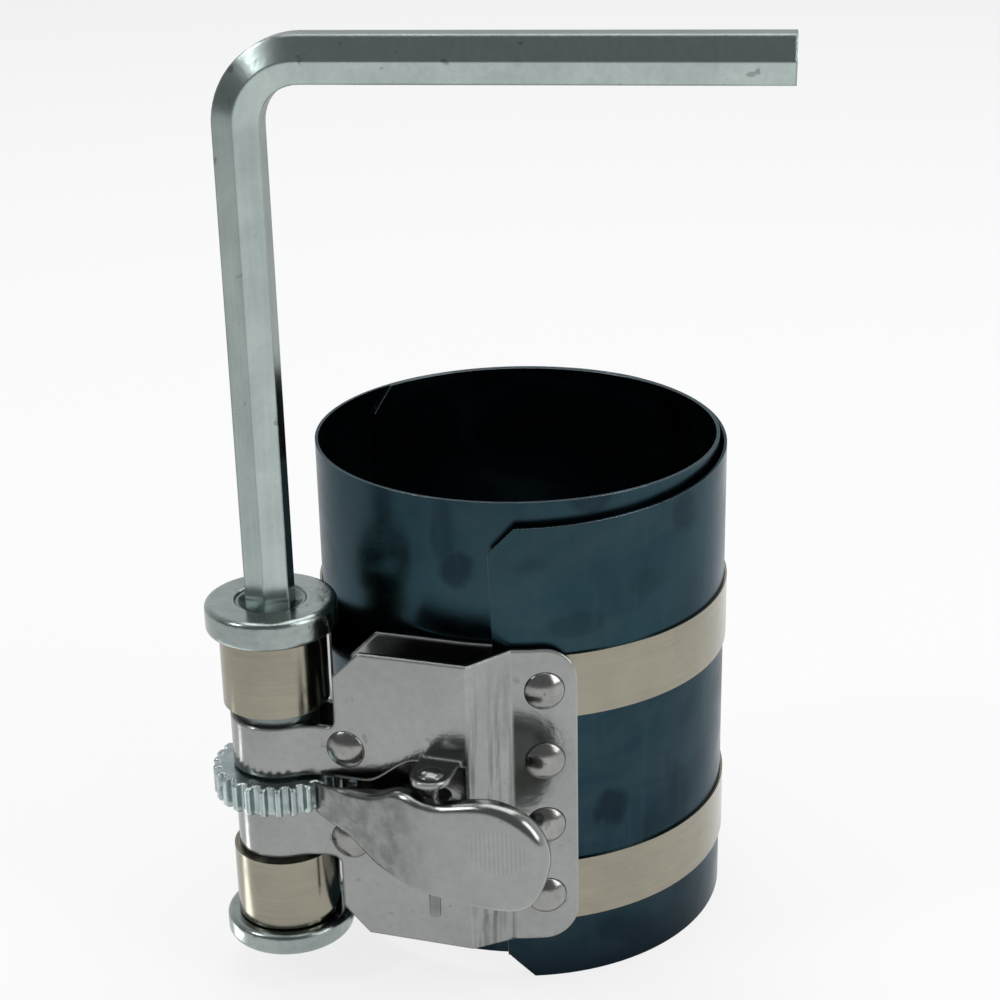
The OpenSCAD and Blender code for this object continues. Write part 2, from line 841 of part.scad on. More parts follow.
module lever_band(depth) {
  n = len(lever_front);
  back = [for (i = [n - 1:-1:1])
    lever_front[i] - (nose_tip + (depth - nose_tip) * min(1, i / nose_steps)) * side_of_open(lever_front, i)];
  linear_extrude(2 * ratchet_mid_z)
    polygon(concat(lever_front, back, [[nose_x + nose_tip * sin(-nose_deg), nose_y + nose_tip * cos(nose_deg)]]));
}

function side_of_open(p, i) = let (d = p[min(i + 1, len(p) - 1)] - p[max(i - 1, 0)]) [d[1], -d[0]] / norm(d);

rim_start_x = -14;
cheek_r = 3.2;
cheek_low_y = lever_y + lever_t / 2 - pivot_y;
cheek_crank = (front_y - arm_out - lever_y) * cheek_r / -shoulder_x;

module lever_rim_wall() {
  intersection() {
    lever_band(lever_rim);
    difference() {
      leaf_prism(leaf_edge);
      leaf_prism(inset(leaf_edge, lever_t));
    }
    translate([pivot_x + rim_start_x, 2 * pad_y, 0])
      cube([2 * pad_reach, -2 * pad_y, 2 * ratchet_mid_z]);
  }
}

module cheek(z) {
  translate([pivot_x, pivot_y, z])
    union() {
      cylinder(r = cheek_r, h = lever_t);
      linear_extrude(lever_t)
        polygon([[-cheek_r, 0], [-cheek_r, cheek_low_y + cheek_crank], [0, cheek_low_y], [cheek_r, cheek_low_y], [cheek_r, 0]]);
    }
}

module release_lever() {
  color("silver")
    difference() {
      union() {
        intersection() {
          lever_band(lever_t);
          leaf_prism(leaf_edge);
        }
        lever_rim_wall();
        cheek(cheek_high_z);
        cheek(cheek_low_z);
      }
      translate([pivot_x, pivot_y, 0])
        cylinder(r = pin_r + run_gap, h = 2 * ratchet_mid_z);
    }
}

// Hex key, drawn along +X and turned to its place
module hex_bar(h) {
  rotate(30)
    cylinder(d = key_af / cos(30), h = h, $fn = 6);
}

module hex_key() {
  low = shaft_top_z - socket_depth + seat_gap;
  knee = handle_z - key_bend_r;
  key_lap = 0.2;
  color("lightsteelblue")
    translate([spindle_x, spindle_y, 0])
      rotate(handle_deg)
        union() {
          translate([0, 0, low])
            hex_bar(knee - low + key_lap);
          translate([key_bend_r, 0, knee])
            rotate([90, 0, 180])
              rotate_extrude(angle = 90)
                translate([key_bend_r, 0])
                  rotate(30)
                    circle(d = (key_af + 2 * lap_step) / cos(30), $fn = 6);
          translate([key_bend_r - key_lap, 0, handle_z])
            rotate([0, 90, 0])
              hex_bar(handle_reach - key_bend_r + key_lap);
        }
}

sleeve();
upper_strap();
lower_strap();
ratchet_frame();
upper_frame_rivet();
lower_frame_rivet();
upper_strap_rivet();
lower_strap_rivet();
upper_sleeve_rivet();
lower_sleeve_rivet();
lever_pivot_pin();
lever_spring();
spindle_shaft();
upper_flange();
lower_flange();
ratchet_wheel();
upper_strap_coil();
lower_strap_coil();
release_lever();
hex_key();
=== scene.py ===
import math

import bmesh
import bpy
import numpy as np
from mathutils import Matrix, Vector


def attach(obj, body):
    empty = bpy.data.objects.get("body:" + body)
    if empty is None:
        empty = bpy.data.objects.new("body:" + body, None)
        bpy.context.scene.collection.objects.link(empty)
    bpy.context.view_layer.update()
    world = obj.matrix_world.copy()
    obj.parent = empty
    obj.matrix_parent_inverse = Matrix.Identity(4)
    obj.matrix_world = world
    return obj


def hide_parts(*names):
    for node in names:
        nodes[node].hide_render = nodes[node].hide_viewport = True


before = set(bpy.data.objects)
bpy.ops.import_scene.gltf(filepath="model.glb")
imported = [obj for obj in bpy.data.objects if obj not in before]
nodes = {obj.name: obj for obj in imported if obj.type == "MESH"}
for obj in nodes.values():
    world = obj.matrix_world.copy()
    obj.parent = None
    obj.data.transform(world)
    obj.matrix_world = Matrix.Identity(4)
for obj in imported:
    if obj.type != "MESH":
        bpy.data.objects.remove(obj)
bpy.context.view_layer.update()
scene = bpy.context.scene
print("frame loaded:", len(nodes), "nodes")


# camera: 72 mm lens, a little above and to the right of the lever
cameraView = {
    "place": (0.09278, -0.30147, 0.19540),  # metres
    "yaw": -17.69,  # degrees, turned to the left of +Y
    "pitch": 21.55,  # looking down
    "roll": -1.22,
    "lens": 72.29,
    "sensor": 36.0,
    "clip": (0.01, 50.0),
}


def makeCamera(view):
    yaw, pitch, roll = (math.radians(view[k]) for k in ("yaw", "pitch", "roll"))
    ahead = Vector((
        math.sin(yaw) * math.cos(pitch),
        math.cos(yaw) * math.cos(pitch),
        -math.sin(pitch),
    ))
    level = Vector((math.cos(yaw), -math.sin(yaw), 0))
    upright = level.cross(ahead)
    right = math.cos(roll) * level + math.sin(roll) * upright
    above = -math.sin(roll) * level + math.cos(roll) * upright
    camera = bpy.data.cameras.new("photoCamera")
    camera.lens = view["lens"]
    camera.sensor_width, camera.sensor_fit = view["sensor"], "HORIZONTAL"
    camera.clip_start, camera.clip_end = view["clip"]
    camera.dof.use_dof = False
    seen = bpy.data.objects.new("photoCamera", camera)
    turn = Matrix((right, above, -ahead)).transposed().to_4x4()
    seen.matrix_world = Matrix.Translation(view["place"]) @ turn
    scene.collection.objects.link(seen)
    scene.camera = seen


makeCamera(cameraView)
scene.view_settings.view_transform = "Standard"
print("camera set")


# helpers for shader trees: a value is a number, a tuple or another node's socket
def put(tree, kind, inputs=None, **settings):
    node = tree.nodes.new(kind)
    for name, value in settings.items():
        setattr(node, name, value)
    for name, value in (inputs or {}).items():
        if isinstance(value, bpy.types.NodeSocket):
            tree.links.new(value, node.inputs[name])
        else:
            node.inputs[name].default_value = value
    return node


def calc(tree, operation, a, b=0.0, clamp=False):
    node = put(tree, "ShaderNodeMath", {0: a, 1: b}, operation=operation, use_clamp=clamp)
    return node.outputs[0]


def times(tree, product, *others):
    for other in others:
        product = calc(tree, "MULTIPLY", product, other)
    return product


def calcVector(tree, operation, a, b=(0.0, 0.0, 0.0)):
    return put(tree, "ShaderNodeVectorMath", {0: a, 1: b}, operation=operation).outputs


def remap(tree, value, low, high, toLow=0.0, toHigh=1.0):
    node = put(tree, "ShaderNodeMapRange", {
        "Value": value, "From Min": low, "From Max": high, "To Min": toLow, "To Max": toHigh,
    })
    return node.outputs["Result"]


def within(tree, value, low, high, soft):
    # 1 between low and high, falling to 0 over a soft border inside them
    rising = remap(tree, value, low, low + soft)
    falling = remap(tree, value, high - soft, high, 1.0, 0.0)
    return times(tree, rising, falling)


def rgba(color):
    return (*color, 1.0)


def blend(tree, factor, under, over):
    a, b = (c if isinstance(c, bpy.types.NodeSocket) else rgba(c) for c in (under, over))
    return put(tree, "ShaderNodeMix", {0: factor, 6: a, 7: b}, data_type="RGBA").outputs[2]


def noise(tree, vector, scale, detail, rough, distort=0.0):
    node = put(tree, "ShaderNodeTexNoise", {
        "Vector": vector, "Scale": scale, "Detail": detail, "Roughness": rough, "Distortion": distort,
    })
    return node.outputs["Fac"]


def bumped(tree, height, strength, distance, normal):
    node = put(tree, "ShaderNodeBump", {
        "Height": height, "Strength": strength, "Distance": distance, "Normal": normal,
    })
    return node.outputs["Normal"]


def objectPlace(tree):
    return put(tree, "ShaderNodeTexCoord").outputs["Object"]


def stretched(tree, vector, scale):
    return put(tree, "ShaderNodeMapping", {"Vector": vector, "Scale": scale}).outputs["Vector"]


def axes(tree, vector):
    return put(tree, "ShaderNodeSeparateXYZ", {"Vector": vector}).outputs


def newGroup(name, inputs, outputs):
    tree = bpy.data.node_groups.new(name, "ShaderNodeTree")
    for label, kind, value in inputs:
        socket = tree.interface.new_socket(label, in_out="INPUT", socket_type=kind)
        socket.default_value = value
    for label, kind in outputs:
        tree.interface.new_socket(label, in_out="OUTPUT", socket_type=kind)
    return tree, tree.nodes.new("NodeGroupInput").outputs, tree.nodes.new("NodeGroupOutput").inputs


# rounded edges: a soft normal over sharp folds, and a mask that is 1 along them
edgeLook = {
    "radius": 0.0004,  # metres
    "samples": 6,
    "turned": (0.995, 0.80),  # likeness of soft and flat normal, from no edge to full edge
}


def edgeGroup(look):
    tree, given, result = newGroup(
        "softEdge",
        [("Radius", "NodeSocketFloat", look["radius"])],
        [("Normal", "NodeSocketVector"), ("Edge", "NodeSocketFloat")],
    )
    soft = put(tree, "ShaderNodeBevel", {"Radius": given["Radius"]}, samples=look["samples"])
    flat = put(tree, "ShaderNodeNewGeometry")
    alike = calcVector(tree, "DOT_PRODUCT", soft.outputs["Normal"], flat.outputs["Normal"])["Value"]
    tree.links.new(soft.outputs["Normal"], result["Normal"])
    tree.links.new(remap(tree, alike, *look["turned"]), result["Edge"])
    return tree


# drawn or rolled grain: fine streaks along one direction, cloudy patches, specks and pits
grainLook = {
    "streak": dict(detail=3.0, rough=0.6),
    "cloud": dict(detail=5.0, rough=0.6, distort=0.4),
    "speck": dict(scale=1900.0, detail=2.0, rough=0.7),
    "speckBand": (0.66, 0.76),  # noise values from no speck to full speck
    "pit": dict(scale=360.0, detail=2.0, rough=0.5, distort=0.3),
    "pitBand": (0.70, 0.74),
}


def grainGroup(look):
    tree, given, result = newGroup(
        "metalGrain",
        [
            ("Stretch", "NodeSocketVector", (1.0, 1.0, 1.0)),
            ("Fineness", "NodeSocketFloat", 900.0),
            ("Cloud Size", "NodeSocketFloat", 60.0),
        ],
        [(label, "NodeSocketFloat") for label in ("Streak", "Cloud", "Speck", "Pit")],
    )
    place = objectPlace(tree)
    drawn = stretched(tree, place, given["Stretch"])
    masks = {
        "Streak": noise(tree, drawn, given["Fineness"], **look["streak"]),
        "Cloud": noise(tree, place, given["Cloud Size"], **look["cloud"]),
        "Speck": remap(tree, noise(tree, place, **look["speck"]), *look["speckBand"]),
        "Pit": remap(tree, noise(tree, place, **look["pit"]), *look["pitBand"]),
    }
    for label, value in masks.items():
        tree.links.new(value, result[label])
    return tree


edgeTree = edgeGroup(edgeLook)
grainTree = grainGroup(grainLook)


def useGroup(tree, group, inputs):
    node = tree.nodes.new("ShaderNodeGroup")
    node.node_tree = group
    for label, value in inputs.items():
        node.inputs[label].default_value = value
    return node.outputs


def newMaterial(name):
    material = bpy.data.materials.new(name)
    material.use_nodes = True
    tree = material.node_tree
    tree.nodes.clear()
    shader = tree.nodes.new("ShaderNodeBsdfPrincipled")
    put(tree, "ShaderNodeOutputMaterial", {"Surface": shader.outputs["BSDF"]})
    return material, tree, shader


def setMetal(tree, shader, color, rough, normal, grazing=(1.0, 1.0, 1.0)):
    # grazing is the tint of what shines along the surface
    shader.inputs["Metallic"].default_value = 1.0
    shader.inputs["Specular Tint"].default_value = rgba(grazing)
    tree.links.new(color, shader.inputs["Base Color"])
    tree.links.new(rough, shader.inputs["Roughness"])
    tree.links.new(normal, shader.inputs["Normal"])


# plated and bright metals share one recipe. In every finish below, a band is: from value,
# to value, and where they are not 0 and 1, the strengths at these two
plating = {
    "patch": (0.38, 0.66),  # cloud values from the plain colour to the cloud colour
    "streak": (0.35, 0.75, 0.0, 0.12),
    "streakGain": 1.7,  # streaks are brighter than the plain colour
    "speckStrength": 0.35,
    "speckShade": 0.45,  # of the cloud colour
    "paintedEdgeShare": 0.6,  # share of the edge colour on sharp edges: a painted highlight, dark on the key
    "pitShade": 0.3,
    "roughCloud": (0.3, 0.7),
    "roughSpread": (-0.03, 0.05),
    "waveDepth": 0.0006,  # metres
    "grainDepth": 0.0003,
}

# edge is the colour on sharp edges: a painted highlight, except on the key, whose edges are dark
nickelPlate = {  # frame and lever
    "color": (0.315, 0.327, 0.318), "cloud": (0.282, 0.293, 0.285), "edge": (0.42, 0.43, 0.42),
    "rough": 0.16, "stretch": (1.0, 1.0, 1.0), "fine": 700.0, "cloudSize": 70.0,
    "bump": 0.012, "wave": 0.24, "radius": 0.0008, "pits": 0.3,
}

finishes = {
    "rivetDome": {
        "color": (0.34, 0.345, 0.33), "cloud": (0.26, 0.265, 0.25), "edge": (0.55, 0.54, 0.52),
        "rough": 0.2, "stretch": (1.0, 1.0, 1.0), "fine": 500.0, "cloudSize": 260.0,
        "bump": 0.03, "wave": 0.16, "radius": 0.0003, "pits": 0.3, "grazing": 1.0,
    },
    "pinSteel": {
        "color": (0.25, 0.255, 0.25), "cloud": (0.17, 0.175, 0.17), "edge": (0.45, 0.44, 0.43),
        "rough": 0.2, "stretch": (1.0, 1.0, 0.1), "fine": 900.0, "cloudSize": 200.0,
        "bump": 0.03, "wave": 0.05, "radius": 0.0003, "pits": 0.0, "grazing": 1.0,
    },
    "springWire": {
        "color": (0.17, 0.17, 0.175), "cloud": (0.12, 0.12, 0.125), "edge": (0.3, 0.3, 0.3),
        "rough": 0.3, "stretch": (1.0, 1.0, 1.0), "fine": 900.0, "cloudSize": 300.0,
        "bump": 0.02, "wave": 0.02, "radius": 0.0001, "pits": 0.0, "grazing": 1.0,
    },
    "turnedShaft": {
        "color": (0.25, 0.285, 0.285), "cloud": (0.17, 0.20, 0.20), "edge": (0.45, 0.48, 0.48),
        "rough": 0.28, "stretch": (0.1, 0.1, 1.0), "fine": 1400.0, "cloudSize": 120.0,
        "bump": 0.05, "wave": 0.03, "radius": 0.0003, "pits": 0.2, "grazing": 1.0,
    },
    "zincFlange": {
        "color": (0.345, 0.39, 0.375), "cloud": (0.275, 0.32, 0.31), "edge": (0.74, 0.78, 0.77),
        "rough": 0.2, "stretch": (1.0, 1.0, 1.0), "fine": 800.0, "cloudSize": 150.0,
        "bump": 0.03, "wave": 0.32, "radius": 0.0006, "pits": 0.55, "grazing": 1.0,
    },
    "zincWheel": {
        "color": (0.40, 0.47, 0.47), "cloud": (0.27, 0.33, 0.335), "edge": (0.9, 0.93, 0.93),
        "rough": 0.2, "stretch": (1.0, 1.0, 1.0), "fine": 600.0, "cloudSize": 260.0,
        "bump": 0.05, "wave": 0.35, "radius": 0.0006, "pits": 0.4, "grazing": 1.0,
    },
    "zincKey": {  # with dark edges
        "color": (0.42, 0.492, 0.473), "cloud": (0.36, 0.425, 0.41), "edge": (0.15, 0.185, 0.18),
        "rough": 0.2, "stretch": (1.0, 1.0, 0.04), "fine": 1100.0, "cloudSize": 110.0,
        "bump": 0.02, "wave": 0.08, "radius": 0.0006, "pits": 0.5, "grazing": 0.55,
    },
}


def shaded(color, gain):
    return tuple(min(gain * c, 1.0) for c in color)


def platedSurface(tree, finish, look):
    grain = useGroup(tree, grainTree, {
        "Stretch": finish["stretch"], "Fineness": finish["fine"], "Cloud Size": finish["cloudSize"],
    })
    edge = useGroup(tree, edgeTree, {"Radius": finish["radius"]})
    streaks = remap(tree, grain["Streak"], *look["streak"])
    layers = [  # mask and colour, from the lowest up
        (remap(tree, grain["Cloud"], *look["patch"]), finish["cloud"]),
        (streaks, shaded(finish["color"], look["streakGain"])),
        (times(tree, grain["Speck"], look["speckStrength"]), shaded(finish["cloud"], look["speckShade"])),
        # painted highlight along sharp edges, dark on the key
        (times(tree, edge["Edge"], look["paintedEdgeShare"]), finish["edge"]),
        (times(tree, grain["Pit"], finish["pits"]), shaded(finish["cloud"], look["pitShade"])),
    ]
    color = finish["color"]
    for mask, layer in layers:
        color = blend(tree, mask, color, layer)
    roughness = [finish["rough"] + k for k in look["roughSpread"]]
    rough = remap(tree, grain["Cloud"], *look["roughCloud"], *roughness)
    wave = bumped(tree, grain["Cloud"], finish["wave"], look["waveDepth"], edge["Normal"])
    normal = bumped(tree, grain["Streak"], finish["bump"], look["grainDepth"], wave)
    return color, rough, normal


def platedMetal(name, finish):
    material, tree, shader = newMaterial(name)
    surface = platedSurface(tree, finish, plating)
    setMetal(tree, shader, *surface, (finish["grazing"],) * 3)
    return material


made = {name: platedMetal(name, finish) for name, finish in finishes.items()}
print("plated metals made")


# blued sheet: dark teal oxide with stains, bare cut edges along the rims, and painted shade towards the
# bottom
bluing = {
    "teal": (0.026, 0.060, 0.075),
    "navy": (0.017, 0.038, 0.052),
    "stain": (0.009, 0.016, 0.024),
    "haze": (0.050, 0.080, 0.092),
    "bare": (0.33, 0.35, 0.36),
    "footShadeColor": (0.004, 0.008, 0.012),
    "grazing": (0.74, 0.78, 0.80),
    "grain": {"Stretch": (1.0, 1.0, 0.12), "Fineness": 520.0},
    "cutEdge": {"Radius": 0.00012},
    "bareShare": 0.75,
    "tone": dict(scale=24.0, detail=4.0, rough=0.6, distort=0.8),  # between teal and navy
    "toneBand": (0.36, 0.64),
    "lowShadeBand": (0.065, 0.0, 0.0, 0.9),  # metres up: painted shade, the sheet darker towards the bottom and painted shade, almost black at the rim it stands on
    "footShadeBand": (0.014, 0.0, 0.0, 0.85),  # and turns almost black at the rim on it
    "fog": dict(scale=30.0, detail=5.0, rough=0.62, distort=0.6),
    "fogStretch": (1.0, 1.0, 2.2),
    "fogBand": (0.46, 0.68, 0.0, 0.45),
    "roughBand": (0.36, 0.66, 0.18, 0.33),  # fog values and the roughness there
    "streakBand": (0.5, 0.8, 0.0, 0.22),
    "blot": dict(scale=58.0, detail=2.0, rough=0.4, distort=0.25),
    "blotBand": (0.585, 0.635, 0.0, 0.45),
    "smudges": [  # degrees round, mm up, half sizes, strength
        (-89.3, 72.0, 6.0, 3.0, 0.6),
        (-49.5, 29.8, 5.5, 4.0, 0.7),
        (-59.0, 63.4, 8.0, 2.2, 0.28),
        (-38.0, 68.0, 7.0, 2.6, 0.2),
    ],
    "smudgeBand": (1.15, 0.4),  # squared distance in half sizes, from outside to full
    "ragged": dict(scale=150.0, detail=4.0, rough=0.6, distort=0.5),  # uneven smudge borders
    "raggedBand": (0.3, 0.7, -0.6, 0.6),
    "wave": (0.05, 0.0008),  # strength, metres
    "bump": (0.02, 0.0003),
}


def smudgeMask(tree, look, place, start):
    xyz = axes(tree, place)
    angle = calc(tree, "ARCTAN2", xyz["Y"], xyz["X"])
    ragged = remap(tree, noise(tree, place, **look["ragged"]), *look["raggedBand"])
    mask = start
    for around, up, wide, tall, strength in look["smudges"]:
        u = calc(tree, "DIVIDE", calc(tree, "SUBTRACT", angle, math.radians(around)), math.radians(wide))
        v = calc(tree, "DIVIDE", calc(tree, "SUBTRACT", xyz["Z"], up / 1000), tall / 1000)
        squared = calc(tree, "ADD", times(tree, u, u), times(tree, v, v))
        far = calc(tree, "ADD", squared, ragged)
        spot = remap(tree, far, *look["smudgeBand"], 0.0, strength)
        mask = calc(tree, "MAXIMUM", mask, spot)
    return mask


def bluedSteel(look):
    material, tree, shader = newMaterial("bluedSteel")
    grain = useGroup(tree, grainTree, look["grain"])
    edge = useGroup(tree, edgeTree, look["cutEdge"])
    place = objectPlace(tree)
    height = axes(tree, place)["Z"]
    tone = noise(tree, place, **look["tone"])
    fog = noise(tree, stretched(tree, place, look["fogStretch"]), **look["fog"])
    low = remap(tree, height, *look["lowShadeBand"])
    toneAndLowShade = calc(tree, "ADD", remap(tree, tone, *look["toneBand"]), low, clamp=True)
    blots = remap(tree, noise(tree, place, **look["blot"]), *look["blotBand"])
    layers = [  # mask and colour, from the lowest up
        # navy at random, and painted shade towards the bottom
        (toneAndLowShade, look["navy"]),
        (remap(tree, fog, *look["fogBand"]), look["haze"]),
        (smudgeMask(tree, look, place, blots), look["stain"]),
        (remap(tree, grain["Streak"], *look["streakBand"]), look["haze"]),
        # painted shade, almost black at the foot
        (remap(tree, height, *look["footShadeBand"]), look["footShadeColor"]),
        (times(tree, edge["Edge"], look["bareShare"]), look["bare"]),
    ]
    color = look["teal"]
    for mask, layer in layers:
        color = blend(tree, mask, color, layer)
    rough = remap(tree, fog, *look["roughBand"])
    wave = bumped(tree, tone, *look["wave"], edge["Normal"])
    normal = bumped(tree, grain["Streak"], *look["bump"], wave)
    setMetal(tree, shader, color, rough, normal, look["grazing"])
    return material


# bright strip: warm grey, rolled lines along the strap, and painted shade along the slit edges
strip = {
    "warm": (0.318, 0.298, 0.238),
    "grey": (0.272, 0.256, 0.206),
    "line": (0.44, 0.41, 0.33),
    "dark": (0.07, 0.065, 0.06),
    "grain": {"Stretch": (0.05, 0.05, 1.0), "Fineness": 1500.0, "Cloud Size": 70.0},
    "slitEdge": {"Radius": 0.00012},
    "edgeShadeShare": 0.7,
    "greyBand": (0.36, 0.64),
    "lineBand": (0.4, 0.75, 0.0, 0.18),
    "roughBand": (0.3, 0.7, 0.13, 0.25),  # cloud values and the roughness there
    "bump": (0.02, 0.0002),  # strength, metres
}


def strapSteel(look):
    material, tree, shader = newMaterial("strapSteel")
    grain = useGroup(tree, grainTree, look["grain"])
    edge = useGroup(tree, edgeTree, look["slitEdge"])
    base = blend(tree, remap(tree, grain["Cloud"], *look["greyBand"]), look["warm"], look["grey"])
    lined = blend(tree, remap(tree, grain["Streak"], *look["lineBand"]), base, look["line"])
    # painted shade along the slit edges
    edgeShaded = blend(tree, times(tree, edge["Edge"], look["edgeShadeShare"]), lined, look["dark"])
    rough = remap(tree, grain["Cloud"], *look["roughBand"])
    normal = bumped(tree, grain["Streak"], *look["bump"], edge["Normal"])
    setMetal(tree, shader, edgeShaded, rough, normal)
    return material


# the lever has the plate's finish, with fine upright ribs on the thumb pad with painted shade in their
# grooves, and a neck painted darker in uneven patches
pad = {
    "middle": (0.0115, 0.0, 0.0346),  # metres
    "reach": (0.0050, 0.0042),  # half width and half height of the ribbed place
    "border": (1.0, 0.8),  # from none to full ribs, in shares of that reach
    "ribPitch": 0.0007,
    "ribs": (0.22, 0.0002),  # strength, metres
    # painted shade in the rib grooves
    "grooveShadeBand": (0.2, -0.9, 0.0, 0.2),
    "grooveShadeColor": (0.15, 0.155, 0.15),
    "neckBand": (0.001, -0.006),  # metres along x, from plain to darkest
    "neckDark": dict(scale=420.0, detail=3.0, rough=0.6, distort=0.4),
    "neckDarkBand": (0.36, 0.64, 0.2, 0.7),
    "neckDarkColor": (0.13, 0.135, 0.13),
}


def leverPlate(look):
    material, tree, shader = newMaterial("leverPlate")
    plain, rough, normal = platedSurface(tree, nickelPlate, plating)
    place = objectPlace(tree)
    along = axes(tree, place)["X"]
    offset = calcVector(tree, "SUBTRACT", place, look["middle"])["Vector"]
    wide, tall = look["reach"]
    share = calcVector(tree, "MULTIPLY", offset, (1 / wide, 0.0, 1 / tall))["Vector"]
    radius = calcVector(tree, "LENGTH", share)["Value"]
    wave = calc(tree, "SINE", times(tree, along, 2 * math.pi / look["ribPitch"]))
    ribs = times(tree, wave, remap(tree, radius, *look["border"]))
    # painted shade: the grooves between the ribs darkened
    grooveShaded = blend(tree, remap(tree, ribs, *look["grooveShadeBand"]), plain, look["grooveShadeColor"])
    # the neck painted darker in uneven patches
    uneven = remap(tree, noise(tree, place, **look["neckDark"]), *look["neckDarkBand"])
    neckDark = times(tree, remap(tree, along, *look["neckBand"]), uneven)
    color = blend(tree, neckDark, grooveShaded, look["neckDarkColor"])
    setMetal(tree, shader, color, rough, bumped(tree, ribs, *look["ribs"], normal))
    return material


# the frame's flange is shaded a little flatter than the sleeve's arc that it follows, and the
# sloping fold beside it has painted shade in dark upright streaks, strongest low down
flange = {
    "startDeg": -75.5,
    "middleY": -0.0005,  # metres
    "radius": 0.0368,
    "flatter": 1.1,
    "bump": (1.0, 1.0),  # strength, metres: the rise is given in metres
    "riser": (0.0038, 0.0094, 0.0008),  # the fold: from x, to x, soft border
    # painted shade on the fold: where it starts, its streaks and its colour
    "paintedShadeHeight": (0.060, 0.042),  # from none to most
    "paintedShadeNoise": dict(scale=620.0, detail=3.0, rough=0.55, distort=0.3),
    "paintedShadeStretch": (1.0, 1.0, 0.09),
    "paintedShadeBand": (0.46, 0.64, 0.0, 0.7),
    "paintedShadeColor": (0.06, 0.062, 0.06),
}


def framePlate(look):
    material, tree, shader = newMaterial("framePlate")
    plain, rough, normal = platedSurface(tree, nickelPlate, plating)
    place = objectPlace(tree)
    xyz = axes(tree, place)
    angle = calc(tree, "ARCTAN2", calc(tree, "SUBTRACT", xyz["Y"], look["middleY"]), xyz["X"])
    past = calc(tree, "SUBTRACT", angle, math.radians(look["startDeg"]))
    turned = calc(tree, "MAXIMUM", past, 0.0)
    rise = times(tree, turned, turned, look["flatter"] * look["radius"] / 2)
    uneven = noise(tree, stretched(tree, place, look["paintedShadeStretch"]), **look["paintedShadeNoise"])
    paintedShade = remap(tree, uneven, *look["paintedShadeBand"])
    onRiser = within(tree, xyz["X"], *look["riser"])
    low = remap(tree, xyz["Z"], *look["paintedShadeHeight"])
    # painted shade: the fold darkened in upright streaks, most towards the bottom
    color = blend(tree, times(tree, onRiser, low, paintedShade), plain, look["paintedShadeColor"])
    setMetal(tree, shader, color, rough, bumped(tree, rise, *look["bump"], normal))
    return material


made["framePlate"] = framePlate(flange)
made["bluedSteel"] = bluedSteel(bluing)
made["strapSteel"] = strapSteel(strip)
made["leverPlate"] = leverPlate(pad)
print("sheet, strap and lever finishes made")

dress = {
    "sleeve": "bluedSteel",
    "upper_strap": "strapSteel", "lower_strap": "strapSteel",
    "upper_strap_coil": "strapSteel", "lower_strap_coil": "strapSteel",
    "ratchet_frame": "framePlate",
    "upper_frame_rivet": "rivetDome", "lower_frame_rivet": "rivetDome",
    "upper_strap_rivet": "rivetDome", "lower_strap_rivet": "rivetDome",
    "upper_sleeve_rivet": "rivetDome", "lower_sleeve_rivet": "rivetDome",
    "lever_pivot_pin": "pinSteel",
    "lever_spring": "springWire",
    "spindle_shaft": "turnedShaft",
    "upper_flange": "zincFlange", "lower_flange": "zincFlange",
    "ratchet_wheel": "zincWheel",
    "hex_key": "zincKey",
}
for node, finish in dress.items():
    for slot in nodes[node].material_slots:
        slot.material = made[finish]
print("nodes dressed:", len(dress))


# release lever: one pressed sheet. A closed leaf outline is drawn through the stations;
# each ring of the sheet lies at one inset and one depth from that outline, so the rings go
# up the folded rim, round the bend and over the face to the spine in the middle
leverShape = {  # mm
    "pivot": (-0.2, 35.2),  # x of the pivot, height of the wheel's middle
    "pin": (-0.2, -47.8),  # in plan
    "leaf": [
        (-20.787, 2.8), (-10.6, 3.9), (-5.0, 6.2), (1.5, 5.5), (10.8, 7.0), (17.2, 4.2), (19.6, -1.8),
        (17.0, -9.6), (11.5, -11.5), (-0.3, -10.4), (-8.8, -8.4), (-15.0, -4.6), (-20.787, -2.6),
    ],
    "plan": [
        (-20.987, -44.820), (-17.587, -46.320), (-5.2, -50.6),
        (-0.2, -51.8), (10.6, -52.25), (20.4, -52.25),
    ],
    "spine": [(-18.6, -0.2), (-9.0, -2.6), (0.0, -2.9), (12.6, -2.9)],  # middle line of the leaf
    "sheet": 0.9,
    "noseTip": 0.3,
    "noseLength": 15.8,  # over which the sheet grows from the nose tip to its full thickness
    "rim": 2.6,
    "rimFrom": 3.0,  # behind the nose, where the folded rim starts
    "rimLength": 6.5,  # over which it reaches its full depth
    "rimCurve": 1.5,  # power by which it rises there
    "bend": 1.15,
    "bendMost": 0.85,  # share of the rim's depth that the bend takes at most
    "bendSheet": 0.8,  # share of the bend's radius that the sheet takes at most
    "padBend": 0.85,  # how much wider the fold's rounding grows at the thumb pad
    "padFrom": 5.0,
    "padGrow": 10.0,
    "dish": 0.22,  # hollow of the thumb pad
    "dishPlace": (12.2, -3.2, 5.6, 6.2),  # middle and half sizes of that hollow
    "cheekRadius": 3.2,
    "cheekHeights": (25.25, 39.35),
    "cheekFront": 3.55,
    "cheekSlope": 0.24,  # its front runs along the cranked face
    "hole": 1.25,
    "leafSteps": 16,  # points in each span of the outline
    "lineSteps": 24,  # and of the plan and spine
    "noseSteps": 10,
    "wallRings": 5,
    "bendRings": 10,
    "faceRings": 15,
    "cheekSteps": 96,
    "weld": 1e-6,  # metres
    "sliver": 1e-7,
    "sharpDeg": 42,
}


